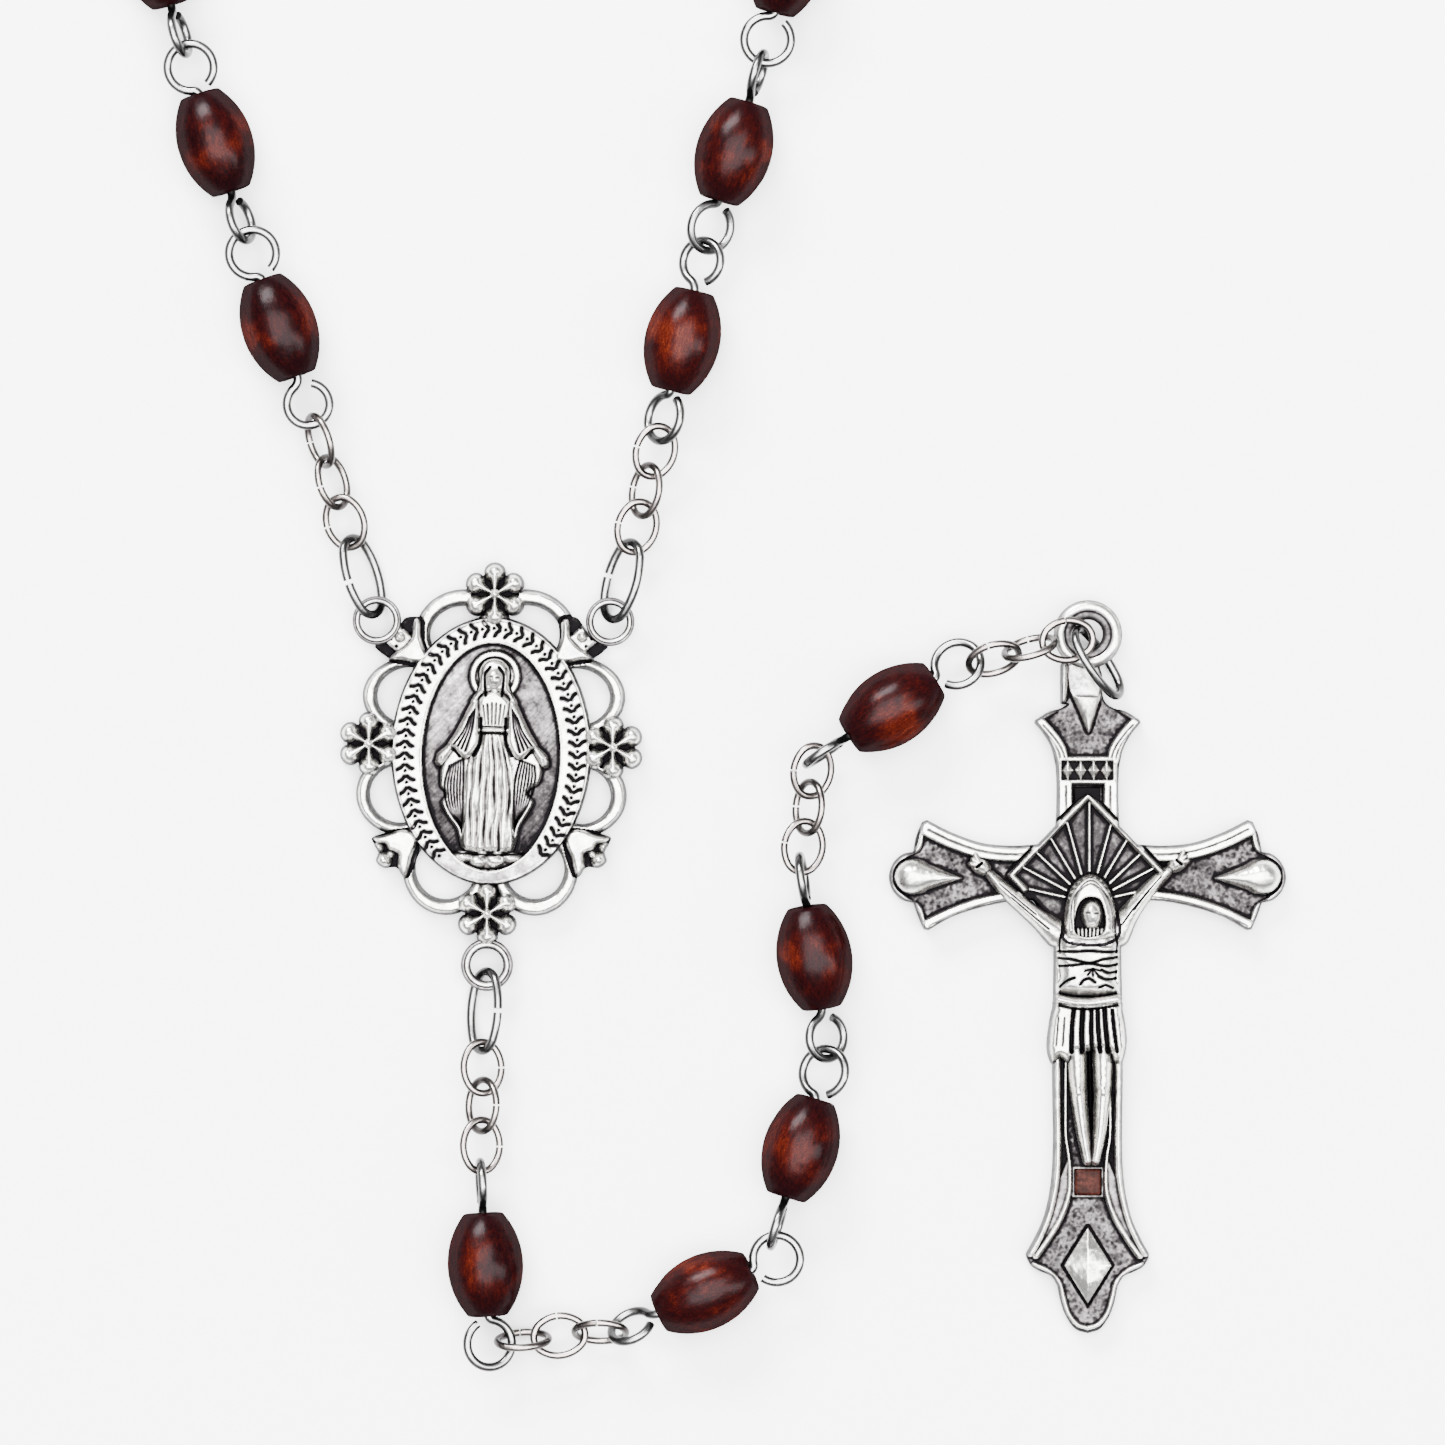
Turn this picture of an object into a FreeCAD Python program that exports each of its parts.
import FreeCAD, Part
import math
import os

# A five-decade rosary of oval wooden beads on silver eye pins, with a centre medal and a crucifix.
# It lies flat: +Z is up, the table is Z = 0, and the origin is the middle of the medal's back face.
# All lengths are millimetres and all angles are degrees.

V = FreeCAD.Vector
OUT = "parts"

# ---- beads and eye pins ----
BEAD_LENGTH = 7.0
BEAD_RADIUS = 2.57
BEAD_END_RADIUS = 1.3
BEAD_EDGE_ROUND = 0.22
BORE_RADIUS = 0.4
PIN_WIRE = 0.6
PIN_REACH = 3.475          # bead face to the middle of the eye's far wire
ROUND_EYE_RADIUS = 1.6
TEAR_EYE_RADIUS = 1.45
ROUND_EYE_KINK = 0.45
TEAR_EYE_KINK = 0.9
EYE_OPENING = 29.0         # degrees left open between the eye's cut end and its neck
PIN_SPAN = BEAD_LENGTH + 2 * PIN_REACH

# ---- chain links and jump rings: half length, half width and end radius of the wire's centre line ----
LINK_WIRE = 0.5
LINK_OVAL = (1.75, 1.35, 1.15)
LINK_CUT = 0.1
RING_WIRE = 0.6
RING_OVAL = (2.7, 1.5, 1.2)
RING_CUT = 0.28
PLAY = 0.05                # free play where two wires hang in each other

# ---- heights above the table ----
BEAD_HEIGHT = BEAD_RADIUS
EYE_HEIGHT = 1.45          # middle of the medal's three eyes
BAIL_HEIGHT = 1.7          # middle of the crucifix's bail ring

# ---- medal ----
MEDAL_LEAN = -1.4
MEDAL_OVAL = (6.83, 9.13)
FIELD_OVAL = (4.78, 7.82)
FIELD_DROP = 0.4
MEDAL_PLATE = 1.2
MEDAL_RIM = 1.9
FIELD_FLOOR = 1.0
SCROLL_TOP = 1.7
EYE_THICK = 0.8
EYE_HOLE = 1.17
EYE_OUTER = 1.57
LOW_EYE_HOLE = 1.12
LOW_EYE_OUTER = 1.75
LEFT_EYE = V(-7.76, 8.87, 0)
RIGHT_EYE = V(8.08, 8.78, 0)
LOW_EYE = V(-0.29, -14.52, 0)
FLOWERS = (V(0.25, 10.65, 0), V(-8.29, 0.51, 0), V(8.26, 0.24, 0), V(-0.28, -11.05, 0))
FLOWER_RADIUS = 1.9
FLOWER_PETALS = 6
LOBES = (
    V(-2.9, 9.2, 0), V(3.4, 9.2, 0), V(-6.9, 4.3, 0), V(7.2, 4.1, 0),
    V(-7.2, -3.2, 0), V(7.2, -3.4, 0), V(-3.7, -8.9, 0), V(3.4, -9.1, 0),
)
LEAVES = (V(-5.4, 6.9, 0), V(5.8, 6.9, 0), V(-6.5, -6.6, 0), V(6.2, -6.8, 0))
LOBE_OUTER = 2.3
LOBE_INNER = 1.15
LEAF_RADIUS = 1.6
LEAF_TOP = SCROLL_TOP + 0.2
WEB_WIDTH = 1.5            # bar from each eye to the openwork
STEM_RADIUS = 1.1          # joins a flower to the oval
PETAL_TOP = SCROLL_TOP + 0.25
FLOWER_BEAD = 0.5

# ---- crucifix, measured from the middle of its bail ring ----
BAIL_RADIUS = 1.65
BAIL_WIRE = 1.36
BAIL_FLATNESS = 0.74       # height of the bail's section over its width
CROSS_PLATE = 1.5
CROSS_RIM = 1.95
CROSS_FLOOR = 1.15
RIM_WIDTH = 0.55
ARM_AXIS = -16.5
ARM_TIP = 13.5
FOOT_TIP = -47.55
INLAY_SIDE = 1.75
INLAY_Y = -37.2
INLAY_FLOOR = 0.8          # bottom of the pocket that the inlay sits in
INLAY_TOP = 1.45
INLAY_CLEAR = 0.03

# ---- how the pieces of the chain lie ----
# Rings and links: heading in the plane, roll about it, and how loosely they hang (mm off taut).
LEFT_START = ((108, 48, 0.37), (107, -20, 0.0), (108, 50, 0.08), (106, -60, 0.0))
RIGHT_START = ((74, -48, 0.62), (75, 17, 0.05), (78, -48, 0.4), (74, 17, 0.2))
PENDANT_START = ((-93, 52, 0.33), (-89, -20, 0.0), (-91, 45, 0.37), (-92, -25, 0.23))
LOW_RUN = ((5, -70, 0.4), (8, -5, 0.45), (2, 60, 0.14))
UPPER_RUN = ((80, 15, 0.5), (85, -50, 0.25), (84, 20, 0.45))
CROSS_RUN = ((19, 45, 0.2), (15, -65, 0.4), (7, 4, 0.3))
CROSS_RISES = (7, 3, -10)
SECTION_DROP = 9.0                     # a chain between two beads dips and rises by this
# Beads: heading, roll of the first and last eye, looseness, and how far round its last eye the
# next piece hangs.
LEFT_FIRST_BEADS = ((110.2, 0, 0, 0.0, 0), (108.2, 65, -10, 0.0, 0))
RIGHT_FIRST_BEADS = ((76.5, -48, -30, 0.4, 0), (73.0, 35, 80, 0.0, 0))
OF1_BEAD = (-87.0, 85, -20, 0.05, 93)
HAIL_BEADS = ((25.0, -55, 0, 0.4, 73), (73.0, 85, -28, 0.12, 7), (98.5, 36, 85, 0.0, 0))
OF2_BEAD = (33.5, 85, -25, 0.95, -38)
SIDE_EYES = {-1: (75, -10), 1: (5, 80)}
SIDE_LINKS = {-1: (56, -58, 8), 1: (-29, 42, -67)}
CROSS_RING = (-53.8, -18.1, -62.1)     # heading, rise and roll of the crucifix's jump ring
CROSS_RING_LOOSE = 0.84
RING_FROM_BAIL = V(0.65, -1.91, 0.2)   # middle of that ring, seen from the bail's middle

# ---- the loop ----
BEADS_PER_SEGMENT = (2, 4, 4, 6, 5, 6)
CHAIN_SEGMENTS = (3, 5)                # segments that start with a chain, a single bead and a chain
BEAD_PITCH = 13.3
LINK_PITCH = 2.95
LOOP_SPREAD = 19.0                     # first guess of the long sides' lean away from the medal's axis
LOOP_RADIUS = 86.0                     # first guess of the radius of the bend at the top
LOOP_TOP = V(0.2, 362.0, 0)
WAVES = ((2.6, 83.0), (1.5, 37.0))     # gentle side-to-side wandering: degrees and wavelength


# ---------------------------------------------------------------- small helpers
def polar(radius, degrees):
    a = math.radians(degrees)
    return V(radius * math.cos(a), radius * math.sin(a), 0)


def lay(heading, rise, roll):
    spin = FreeCAD.Rotation(V(1, 0, 0), roll)
    lift = FreeCAD.Rotation(V(0, 1, 0), -rise)
    head = FreeCAD.Rotation(V(0, 0, 1), heading)
    return head.multiply(lift).multiply(spin)


def sweep(edges, wire_diameter):
    path = Part.Wire(edges)
    start = edges[0].valueAt(edges[0].FirstParameter)
    tangent = edges[0].tangentAt(edges[0].FirstParameter)
    circle = Part.Wire([Part.makeCircle(wire_diameter / 2, start, tangent)])
    return path.makePipeShell([circle], True, False)


def outline(points):
    # A point is a line's end; a pair of points is an arc through the first to the second.
    edges = []
    here = V(*points[0], 0)
    for step in points[1:]:
        if isinstance(step[0], tuple):
            middle = V(*step[0], 0)
            end = V(*step[1], 0)
            edges.append(Part.Arc(here, middle, end).toShape())
        else:
            end = V(*step, 0)
            edges.append(Part.makeLine(here, end))
        here = end
    return Part.Face(Part.Wire(edges))


def raised(face, low, high):
    return face.translated(V(0, 0, low)).extrude(V(0, 0, high - low))


def oval_face(half_width, half_height, centre=V(0, 0, 0)):
    if half_height > half_width:
        ellipse = Part.Ellipse(centre + V(0, half_height, 0), centre + V(half_width, 0, 0), centre)
    else:
        ellipse = Part.Ellipse(centre + V(half_width, 0, 0), centre + V(0, half_height, 0), centre)
    return Part.Face(Part.Wire([ellipse.toShape()]))


def disc(radius, centre, low, high):
    return Part.makeCylinder(radius, high - low, V(centre.x, centre.y, low))


def ball(radii, centre):
    stretch = FreeCAD.Matrix()
    stretch.scale(*radii)
    shape = Part.makeSphere(1.0).transformGeometry(stretch)
    return shape.translated(centre)


def above_table(shape):
    box = Part.makeBox(400, 400, 20, V(-200, -200, 0))
    return shape.common(box)


def fused(shapes):
    return shapes[0].multiFuse(shapes[1:]).removeSplitter()


def mirrored(shape):
    return shape.mirror(V(0, 0, 0), V(1, 0, 0))


# ---------------------------------------------------------------- beads, pins, links and rings
def bead():
    half = BEAD_LENGTH / 2
    arc = Part.Arc(V(-half, BEAD_END_RADIUS, 0), V(0, BEAD_RADIUS, 0), V(half, BEAD_END_RADIUS, 0))
    lines = [
        Part.makeLine(V(half, BEAD_END_RADIUS, 0), V(half, 0, 0)),
        Part.makeLine(V(half, 0, 0), V(-half, 0, 0)),
        Part.makeLine(V(-half, 0, 0), V(-half, BEAD_END_RADIUS, 0)),
    ]
    half_section = Part.Face(Part.Wire([arc.toShape()] + lines))
    body = half_section.revolve(V(0, 0, 0), V(1, 0, 0), 360)
    ends = [e for e in body.Edges if abs(e.BoundBox.XLength) < 0.001 and e.Length > 1]
    body = body.makeFillet(BEAD_EDGE_ROUND, ends)
    bore = Part.makeCylinder(BORE_RADIUS, BEAD_LENGTH + 2, V(-half - 1, 0, 0), V(1, 0, 0))
    body = body.cut(bore)
    return body.translated(V(PIN_REACH + half, 0, 0))


def eye_edges(radius, kink, centre_x, towards):
    # The eye's wire from its cut end round to the pin's shaft; towards is +1 when the shaft runs to +X.
    reach = math.sqrt(radius * radius + 2 * radius * kink)
    join = math.degrees(math.atan2(kink, reach))
    kink_centre = V(reach, kink, 0)
    stop = 360 - EYE_OPENING
    ring = Part.Arc(polar(radius, stop), polar(radius, (stop + join) / 2), polar(radius, join))
    bow = kink_centre + polar(kink, (450 + join) / 2)
    neck = Part.Arc(polar(radius, join), bow, V(reach, 0, 0))
    edges = [ring.toShape(), neck.toShape()]
    if towards < 0:
        edges = [e.mirror(V(0, 0, 0), V(1, 0, 0)) for e in edges]
    return [e.translated(V(centre_x, 0, 0)) for e in edges], centre_x + towards * reach


def eye_pin(rolls, round_first):
    # One wire from eye to eye; the round eye comes first or last, and each eye has its own roll.
    if round_first:
        first, last = (ROUND_EYE_RADIUS, ROUND_EYE_KINK), (TEAR_EYE_RADIUS, TEAR_EYE_KINK)
    else:
        first, last = (TEAR_EYE_RADIUS, TEAR_EYE_KINK), (ROUND_EYE_RADIUS, ROUND_EYE_KINK)
    near, shaft_start = eye_edges(*first, first[0], 1)
    far, shaft_end = eye_edges(*last, PIN_SPAN - last[0], -1)
    near = [e.rotated(V(0, 0, 0), V(1, 0, 0), rolls[0]) for e in near]
    far = [e.rotated(V(0, 0, 0), V(1, 0, 0), rolls[1]) for e in far]
    shaft = Part.makeLine(V(shaft_start, 0, 0), V(shaft_end, 0, 0))
    return sweep(near + [shaft] + far[::-1], PIN_WIRE)


def oval_loop(size, wire_diameter, cut):
    half_length, half_width, end = size
    slack = half_length - end
    side = (slack ** 2 + half_width ** 2 - end ** 2) / (2 * (half_width - end))
    join = V(slack, side - half_width, 0).normalize()
    corner = V(slack, 0, 0) + join * end
    drop = side - half_width
    lip = V(cut / 2, math.sqrt(side ** 2 - (cut / 2) ** 2) - drop, 0)
    middle_x = (lip.x + corner.x) / 2
    shoulder = V(middle_x, math.sqrt(side ** 2 - middle_x ** 2) - drop, 0)

    def flip(point, sx, sy):
        return V(point.x * sx, point.y * sy, 0)

    edges = [
        Part.Arc(lip, shoulder, corner).toShape(),
        Part.Arc(corner, V(half_length, 0, 0), flip(corner, 1, -1)).toShape(),
        Part.Arc(flip(corner, 1, -1), V(0, -half_width, 0), flip(corner, -1, -1)).toShape(),
        Part.Arc(flip(corner, -1, -1), V(-half_length, 0, 0), flip(corner, -1, 1)).toShape(),
        Part.Arc(flip(corner, -1, 1), flip(shoulder, -1, 1), flip(lip, -1, 1)).toShape(),
    ]
    return sweep(edges, wire_diameter).translated(V(half_length, 0, 0))


# ---------------------------------------------------------------- laying the chain
SPANS = {"pin": PIN_SPAN, "link": 2 * LINK_OVAL[0], "ring": 2 * RING_OVAL[0]}
WIRES = {"pin": PIN_WIRE, "link": LINK_WIRE, "ring": RING_WIRE}


class Piece:
    # One rigid piece of the chain. It hangs in another wire at hook and its far wire is at far().
    # eyes holds the rolls of its first and last eye about its own length.
    def __init__(self, kind, hook, hook_wire, heading, rise, eyes, round_first=False, swing=0):
        self.kind = kind
        self.hook = hook
        self.eyes = eyes
        self.round_first = round_first
        self.swing = swing
        self.turn = lay(heading, rise, 0)
        self.along = self.turn.multVec(V(1, 0, 0))
        self.wire = WIRES[kind]
        self.near = hook - self.along * ((hook_wire + self.wire) / 2 + PLAY)

    def far(self, loose=0.0):
        # Where the next piece hangs: on the far wire, or round the far eye by the swing.
        eye = 0.0
        if self.swing:
            eye = ROUND_EYE_RADIUS
        middle = self.near + self.along * (SPANS[self.kind] - eye)
        return middle + self.way_out() * (eye - loose)

    def way_out(self):
        a = math.radians(self.swing)
        return self.along * math.cos(a) + self.eye_side(1) * math.sin(a)

    def middle(self):
        return self.near + self.along * (SPANS[self.kind] / 2)

    def eye_side(self, end):
        # Across the piece, in the plane of its first eye (end 0) or its last one (end 1).
        a = math.radians(self.eyes[end])
        return self.turn.multVec(V(0, math.cos(a), math.sin(a)))

    def tangent(self, end):
        # Direction of the wire where the piece hangs (end 0) or where the next one hangs (end 1).
        a = math.radians(self.swing * end)
        return self.eye_side(end) * math.cos(a) - self.along * math.sin(a)

    def placed(self, shape):
        moved = shape.copy()
        moved.Placement = FreeCAD.Placement(self.near, self.turn).multiply(shape.Placement)
        return moved

    def metal(self):
        if self.kind == "pin":
            return self.placed(eye_pin(self.eyes, self.round_first))
        if self.kind == "link":
            shape = oval_loop(LINK_OVAL, LINK_WIRE, LINK_CUT)
        else:
            shape = oval_loop(RING_OVAL, RING_WIRE, RING_CUT)
        return self.placed(shape.rotated(V(0, 0, 0), V(1, 0, 0), self.eyes[0]))


def steady_rise(kinds, looseness, hook_wire, climb):
    # The slope that lifts a run of pieces by climb between its two ends.
    reach = 0.0
    for kind, loose in zip(kinds, looseness):
        reach += SPANS[kind] - (hook_wire + WIRES[kind]) / 2 - PLAY - loose
        hook_wire = WIRES[kind]
    return math.degrees(math.asin(climb / reach))


def run_of_links(last, lays, rises):
    links = []
    for (heading, roll, loose), rise in zip(lays, rises):
        links.append(Piece("link", last.far(loose), last.wire, heading, rise, (roll, roll)))
        last = links[-1]
    return links


def bead_after(last, bead_lay, round_first=False, level_far_end=False):
    # A bead on its pin, tilted a little where its hook isn't at the bead's height: either the
    # bead's middle or the pin's far end comes to that height.
    heading, near_roll, far_roll, loose, swing = bead_lay
    hook = last.far(loose)
    reach = PIN_SPAN / 2 - (last.wire + PIN_WIRE) / 2 - PLAY
    if level_far_end:
        reach += PIN_SPAN / 2
    rise = math.degrees(math.asin((BEAD_HEIGHT - hook.z) / reach))
    return Piece("pin", hook, last.wire, heading, rise, (near_roll, far_roll), round_first, swing)


def start_from_medal(eye, hole, outer, lays):
    # A jump ring in one of the medal's eyes, and three links that climb to the bead's height.
    heading, roll, loose = lays[0]
    hook = eye + polar((hole + outer) / 2 - loose, heading) + V(0, 0, EYE_HEIGHT)
    kinds = ("ring", "link", "link", "link")
    looseness = [0.0] + [row[2] for row in lays[1:]]
    rise = steady_rise(kinds, looseness, outer - hole, BEAD_HEIGHT - EYE_HEIGHT)
    ring = Piece("ring", hook, outer - hole, heading, rise, (roll, roll))
    return [ring] + run_of_links(ring, lays[1:], (rise, rise, rise))


def half_length():
    links = 6 * len(CHAIN_SEGMENTS)
    return sum(BEADS_PER_SEGMENT) * BEAD_PITCH + links * LINK_PITCH


def heading_at(laid, side, spread, radius):
    bend = radius * math.radians(90 + spread)
    turned = (laid - half_length() + bend) / bend
    turned = min(max(turned, 0.0), 1.0) * (90 + spread)
    wander = 0.0
    for swing, wavelength in WAVES:
        wander += swing * math.sin(2 * math.pi * laid / (wavelength * (1 + 0.1 * side)))
    return 90 - side * (spread - turned) + wander


def lay_side(side, spread, radius):
    # One half of the loop, from the medal's eye to the top; side is -1 on the left, +1 on the right.
    eye = LEFT_EYE if side < 0 else RIGHT_EYE
    lays = LEFT_START if side < 0 else RIGHT_START
    first_beads = LEFT_FIRST_BEADS if side < 0 else RIGHT_FIRST_BEADS
    start = start_from_medal(eye, EYE_HOLE, EYE_OUTER, lays)
    last = start[-1]
    laid = 0.0
    segments = []
    for number, count in enumerate(BEADS_PER_SEGMENT):
        segment = []
        for index in range(count):
            if number in CHAIN_SEGMENTS and index < 2:
                for roll, rise in zip(SIDE_LINKS[side], (-SECTION_DROP, 0, SECTION_DROP)):
                    heading = heading_at(laid, side, spread, radius)
                    segment += run_of_links(last, ((heading, roll, 0.0),), (rise,))
                    last = segment[-1]
                    laid += LINK_PITCH
            if number == 0:
                bead_lay = first_beads[index]
            else:
                bead_lay = (heading_at(laid, side, spread, radius),) + SIDE_EYES[side] + (0.0, 0)
            segment.append(bead_after(last, bead_lay, side > 0, True))
            last = segment[-1]
            laid += BEAD_PITCH
        segments.append(segment)
    return start, segments


def closed_side(side):
    # Adjusts the spread and the radius until this half ends at the top, hooked in the other half.
    overlap = PIN_WIRE + PLAY
    target = LOOP_TOP - V(side * overlap / 2, 0, 0)

    def miss(spread, radius):
        end = lay_side(side, spread, radius)[1][-1][-1].far()
        return end.x - target.x, end.y - target.y

    spread, radius = LOOP_SPREAD, LOOP_RADIUS
    for step in range(12):
        x, y = miss(spread, radius)
        xs, ys = miss(spread + 0.01, radius)
        xr, yr = miss(spread, radius + 0.01)
        a, b, c, d = (xs - x) / 0.01, (xr - x) / 0.01, (ys - y) / 0.01, (yr - y) / 0.01
        det = a * d - b * c
        spread -= (x * d - y * b) / det
        radius -= (y * a - x * c) / det
    return lay_side(side, spread, radius)


def lay_pendant():
    # From the medal's low eye to the crucifix's jump ring.
    pieces = start_from_medal(LOW_EYE, LOW_EYE_HOLE, LOW_EYE_OUTER, PENDANT_START)
    dip = (-SECTION_DROP, 0, SECTION_DROP)
    pieces.append(bead_after(pieces[-1], OF1_BEAD))
    pieces += run_of_links(pieces[-1], LOW_RUN, dip)
    for bead_lay in HAIL_BEADS:
        pieces.append(bead_after(pieces[-1], bead_lay))
    pieces += run_of_links(pieces[-1], UPPER_RUN, dip)
    pieces.append(bead_after(pieces[-1], OF2_BEAD))
    return pieces + cross_run(pieces[-1])


def cross_run(last):
    # Three links and the crucifix's jump ring, climbing so that the ring comes to the bail's height.
    heading, rise, roll = CROSS_RING
    climb = 0.0
    for step in range(6):
        links = run_of_links(last, CROSS_RUN, [climb + offset for offset in CROSS_RISES])
        hook = links[-1].far(CROSS_RING_LOOSE)
        ring = Piece("ring", hook, LINK_WIRE, heading, rise, (roll, roll))
        missing = BAIL_HEIGHT + RING_FROM_BAIL.z - ring.middle().z
        climb += math.degrees(missing / (3 * LINK_PITCH))
    return links + [ring]


def bail_middle(pieces):
    return pieces[-1].middle() - RING_FROM_BAIL


# ---------------------------------------------------------------- medal
def lean(shape):
    return shape.rotated(V(0, 0, 0), V(0, 0, 1), MEDAL_LEAN)


def openwork():
    solid = [disc(LOBE_OUTER, c, 0, SCROLL_TOP) for c in LOBES]
    solid += [disc(LEAF_RADIUS, c, 0, LEAF_TOP) for c in LEAVES]
    frame = fused(solid)
    for c in LOBES:
        frame = frame.cut(disc(LOBE_INNER, c, -1, SCROLL_TOP + 1))
    return frame


def flower(centre):
    petals = [disc(FLOWER_RADIUS * 0.62, centre, 0, SCROLL_TOP)]
    for k in range(FLOWER_PETALS):
        at = centre + polar(FLOWER_RADIUS * 0.64, 90 + k * 360 / FLOWER_PETALS)
        petals.append(disc(FLOWER_RADIUS * 0.36, at, 0, PETAL_TOP))
    petals.append(Part.makeSphere(FLOWER_BEAD, centre + V(0, 0, SCROLL_TOP)))
    petals.append(disc(STEM_RADIUS, centre * 0.86, 0, MEDAL_PLATE))
    return fused(petals)


def eye(centre, hole, outer, towards):
    low = EYE_HEIGHT - EYE_THICK / 2
    high = EYE_HEIGHT + EYE_THICK / 2
    way = towards - centre
    length = way.Length
    web = Part.makeBox(length, WEB_WIDTH, high - low, V(0, -WEB_WIDTH / 2, low))
    web.rotate(V(0, 0, 0), V(0, 0, 1), math.degrees(math.atan2(way.y, way.x)))
    web = web.translated(centre)
    ring = disc(outer, centre, low, high).fuse(web)
    return ring.cut(disc(hole, centre, low - 1, high + 1))


def lady():
    # A standing robed figure with open hands, on a cloud, with a ring halo behind the veil.
    floor = FIELD_FLOOR
    body = [
        ball((1.15, 2.6, 0.9), V(0, 1.6, floor)),
        ball((1.7, 4.6, 0.85), V(0, -3.2, floor)),
        ball((2.6, 0.8, 0.8), V(0, -6.9, floor)),
        ball((0.85, 1.15, 0.85), V(0, 4.6, floor)),
    ]
    for side in (-1, 1):
        sleeve = Part.makeCone(0.55, 0.4, 3.6, V(side * 1.0, 2.6, floor), V(side * 0.62, -0.78, 0))
        body.append(sleeve)
        body.append(ball((0.45, 0.5, 0.4), V(side * 3.25, -0.4, floor)))
    halo = Part.makeTorus(1.45, 0.12, V(0, 4.9, floor + 0.1))
    body.append(halo)
    return above_table(fused(body))


def medal():
    oval = raised(oval_face(*MEDAL_OVAL), 0, MEDAL_PLATE)
    rim = raised(oval_face(*MEDAL_OVAL), MEDAL_PLATE, MEDAL_RIM)
    drop = V(0, -FIELD_DROP, 0)
    field = raised(oval_face(*FIELD_OVAL, drop), FIELD_FLOOR, MEDAL_RIM + 1)
    disc_part = lean(oval.fuse(rim).cut(field).fuse(lady()))
    pieces = [disc_part, openwork()]
    pieces += [flower(c) for c in FLOWERS]
    pieces.append(eye(LEFT_EYE, EYE_HOLE, EYE_OUTER, LEAVES[0]))
    pieces.append(eye(RIGHT_EYE, EYE_HOLE, EYE_OUTER, LEAVES[1]))
    pieces.append(eye(LOW_EYE, LOW_EYE_HOLE, LOW_EYE_OUTER, FLOWERS[3] - V(0, 1.2, 0)))
    return fused(pieces)


# ---------------------------------------------------------------- crucifix
def cross_outline():
    # Right half of the cross from the neck down to the tip; the left half is its mirror image.
    a = ARM_AXIS
    t = ARM_TIP
    half = [
        (0, -1.9), (1.0, -1.9), (1.0, -4.2), ((2.1, -4.95), (3.3, -4.8)), ((3.85, -4.95), (3.65, -5.4)),
        ((2.3, -6.6), (2.0, -8.6)), (2.0, a + 2.0), (5.8, a + 1.85),
        ((8.6, a + 2.25), (10.7, a + 3.6)), ((11.3, a + 3.85), (11.6, a + 3.3)),
        ((11.75, a + 2.2), (12.3, a + 1.3)), ((t, a), (12.3, a - 1.3)),
        ((11.75, a - 2.2), (11.6, a - 3.3)), ((11.3, a - 3.85), (10.7, a - 3.6)),
        ((8.6, a - 2.25), (5.8, a - 1.85)), (2.0, a - 2.0), (1.75, -34.0),
        ((2.3, -39.3), (3.8, -42.2)), ((4.25, -42.75), (3.7, -43.2)),
        ((2.35, -43.9), (1.7, -45.6)), ((1.3, -46.9), (0, FOOT_TIP)), (0, -1.9),
    ]
    return outline(half)


def cross_plate():
    half = cross_outline()
    body = raised(half, 0, CROSS_RIM)
    floor = raised(half.makeOffset2D(-RIM_WIDTH), CROSS_FLOOR, CROSS_RIM + 1)
    keep = Part.makeBox(40, 60, 10, V(RIM_WIDTH + 0.02, -59, 0))
    floor = floor.common(keep)
    middle = Part.makeBox(RIM_WIDTH + 0.03, 38.0, 5, V(0, -44.0, CROSS_FLOOR))
    body = body.cut(floor).cut(middle)
    return body.fuse(mirrored(body))


def corpus():
    # The figure on the cross: arms raised to the sides, head leaning, pleated cloth, straight legs.
    floor = CROSS_FLOOR
    parts = [
        ball((2.1, 3.4, 1.15), V(0, -22.5, floor + 0.3)),
        ball((2.0, 2.2, 1.2), V(0, -26.5, floor + 0.3)),
        ball((0.95, 1.25, 1.1), V(0, -18.9, floor + 0.8)),
        ball((1.7, 3.9, 0.9), V(0, -31.5, floor)),
        ball((0.8, 1.6, 0.8), V(0, -34.9, floor + 0.1)),
    ]
    for side in (-1, 1):
        arm = Part.makeCone(0.62, 0.42, 7.6, V(side * 1.4, -20.2, floor + 0.4), V(side * 5.9, 4.6, 0))
        parts.append(arm)
        parts.append(ball((0.85, 0.7, 0.5), V(side * 7.4, -15.3, floor + 0.35)))
        parts.append(ball((2.0, 1.0, 0.75), V(side * 11.6, ARM_AXIS, floor)))
    return above_table(fused(parts))


def rays():
    # The pointed plate behind the head, with its rays.
    centre = V(0, ARM_AXIS - 0.4, 0)
    corners = [(0, 5.6), (5.3, 0.1), (0, -5.2), (-5.3, 0.1), (0, 5.6)]
    plate = outline([(x, y + centre.y) for x, y in corners])
    body = raised(plate, 0, CROSS_FLOOR + 0.1)
    for k in range(11):
        ray = Part.makeBox(4.6, 0.22, 0.35, V(0, -0.11, CROSS_FLOOR + 0.05))
        ray.rotate(V(0, 0, 0), V(0, 0, 1), 15 + k * 15)
        body = body.fuse(ray.translated(centre).common(raised(plate, 0, 3)))
    return body


def kite():
    top = V(0, -40.1, CROSS_FLOOR)
    low = V(0, -45.4, CROSS_FLOOR)
    left = V(-1.6, -42.8, CROSS_FLOOR)
    right = V(1.6, -42.8, CROSS_FLOOR)
    peak = V(0, -42.8, CROSS_FLOOR + 0.8)
    corners = (top, left, low, right)
    faces = [Part.Face(Part.makePolygon([top, left, low, right, top]))]
    for k, corner in enumerate(corners):
        faces.append(Part.Face(Part.makePolygon([corner, corners[(k + 1) % 4], peak, corner])))
    return Part.makeSolid(Part.makeShell(faces))


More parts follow.
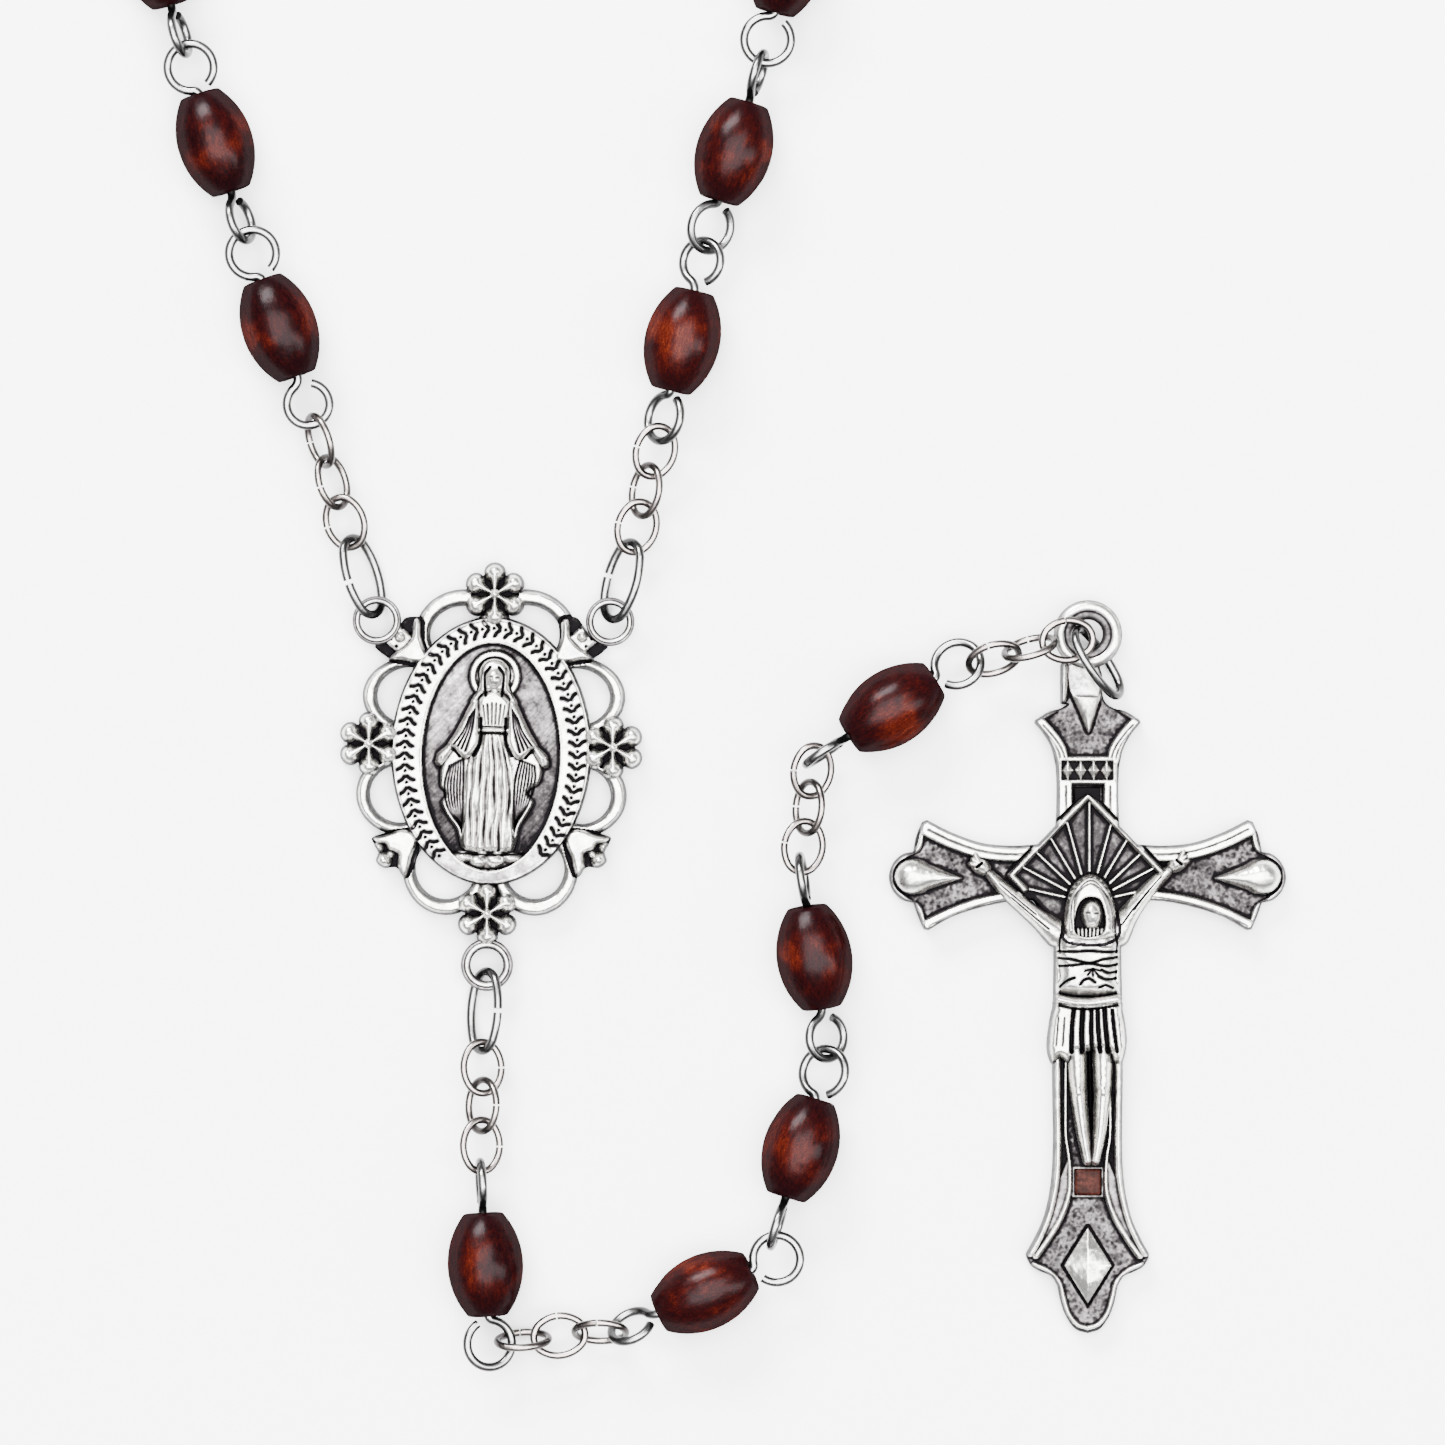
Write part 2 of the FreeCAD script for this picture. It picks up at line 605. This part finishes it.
def inlay_block(grow, low, high):
    side = INLAY_SIDE + 2 * grow
    block = Part.makeBox(side, side, high - low, V(-side / 2, INLAY_Y - side / 2, low))
    return block


def bail_ring():
    flat = FreeCAD.Matrix()
    flat.scale(1, 1, BAIL_FLATNESS)
    ring = Part.makeTorus(BAIL_RADIUS, BAIL_WIRE / 2).transformGeometry(flat)
    return ring.translated(V(0, 0, BAIL_HEIGHT))


def crucifix():
    plaque = Part.makeBox(4.1, 2.0, 0.75, V(-2.05, -10.4, CROSS_FLOOR))
    bail = bail_ring()
    neck = Part.makeBox(2.0, 2.3, CROSS_PLATE - 0.1, V(-1.0, -4.2, 0))
    collar = Part.makeBox(2.0, 0.75, BAIL_HEIGHT - 0.2, V(-1.0, -2.65, 0))
    body = cross_plate()
    for shape in (rays(), corpus(), plaque, kite(), neck, collar, bail):
        body = body.fuse(shape)
    ring_path = Part.makeBox(2.5, 2.1, 4, V(-1.25, -3.95, CROSS_PLATE))
    body = body.cut(ring_path)
    return body.cut(inlay_block(INLAY_CLEAR, INLAY_FLOOR, CROSS_RIM + 2))


def foot_inlay():
    return inlay_block(0, INLAY_FLOOR, INLAY_TOP)


# ---------------------------------------------------------------- nodes
def pendant_names(pieces):
    # Names the pendant's rings and links in order, and gives each bead's pin its number.
    names = []
    counts = {"ring": 0, "link": 0, "pin": 0}
    for piece in pieces:
        counts[piece.kind] += 1
        if piece.kind == "ring":
            names.append("pendant_jump_ring" if counts["ring"] == 1 else "crucifix_jump_ring")
        else:
            names.append("pendant_%s_%d" % (piece.kind, counts[piece.kind]))
    return names


def nodes():
    made = {"medal": medal()}
    wood = bead()
    for side, word in ((-1, "left"), (1, "right")):
        start, segments = closed_side(side)
        made[word + "_jump_ring"] = start[0].metal()
        for number, link in enumerate(start[1:], 1):
            made["%s_link_%d" % (word, number)] = link.metal()
        for number, segment in enumerate(segments, 1):
            metal = [piece.metal() for piece in segment]
            beads = [piece.placed(wood) for piece in segment if piece.kind == "pin"]
            made["%s_pins_%d" % (word, number)] = Part.makeCompound(metal)
            made["%s_beads_%d" % (word, number)] = Part.makeCompound(beads)
    pendant = lay_pendant()
    for name, piece in zip(pendant_names(pendant), pendant):
        made[name] = piece.metal()
        if piece.kind == "pin":
            made[name.replace("pin", "bead")] = piece.placed(wood)
    bail = bail_middle(pendant)
    across = V(bail.x, bail.y, 0)
    made["crucifix"] = crucifix().translated(across)
    made["foot_inlay"] = foot_inlay().translated(across)
    return made


def main():
    os.makedirs(OUT, exist_ok=True)
    for name, shape in nodes().items():
        shape.exportStep(os.path.join(OUT, name + ".step"))


if __name__ == "__main__":
    main()
